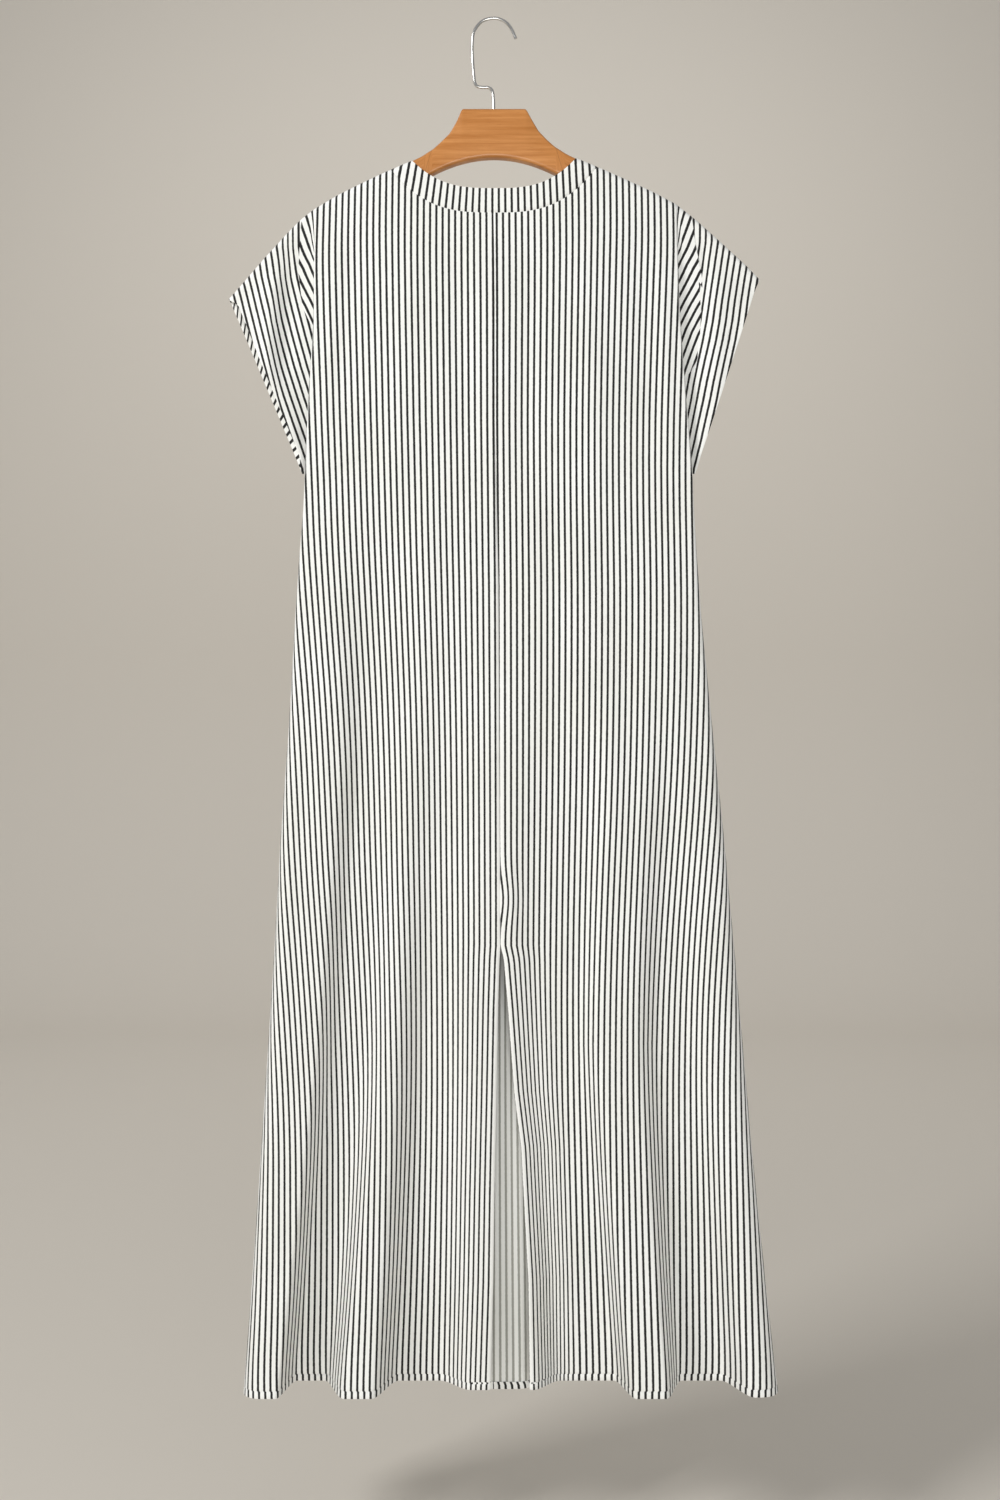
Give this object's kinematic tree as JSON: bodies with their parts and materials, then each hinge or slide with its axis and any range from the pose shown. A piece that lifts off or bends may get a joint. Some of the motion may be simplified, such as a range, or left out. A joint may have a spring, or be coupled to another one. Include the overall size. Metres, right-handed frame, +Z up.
{
  "type": "maxi dress on a clothes hanger",
  "caption": "Short-sleeved A-line maxi dress in striped crepe, back slit, round neck band, hung on a flat wooden hanger with a wire hook.",
  "frame": {"origin": "inside top of the hook, where a rail carries it", "axes": "+Z up along the dress; the dress's back faces -Y, its front faces +Y; +X is to the right seen from behind the dress"},
  "size_m": [0.5851, 0.1232, 1.4733],
  "materials": {
    "body_crepe": "striped crepe",
    "sleeve_crepe": "striped crepe",
    "band_crepe": "striped crepe, folded double",
    "hanger_wood": "clear satin lacquer",
    "hook_wire": "bright plated wire"
  },
  "bodies": {
    "root": {"back_left": "body_crepe", "back_right": "body_crepe", "front": "body_crepe", "sleeve_left": "sleeve_crepe", "sleeve_right": "sleeve_crepe", "neck_band": "band_crepe", "hanger": "hanger_wood", "hook": "hook_wire"}
  },
  "joints": []
}
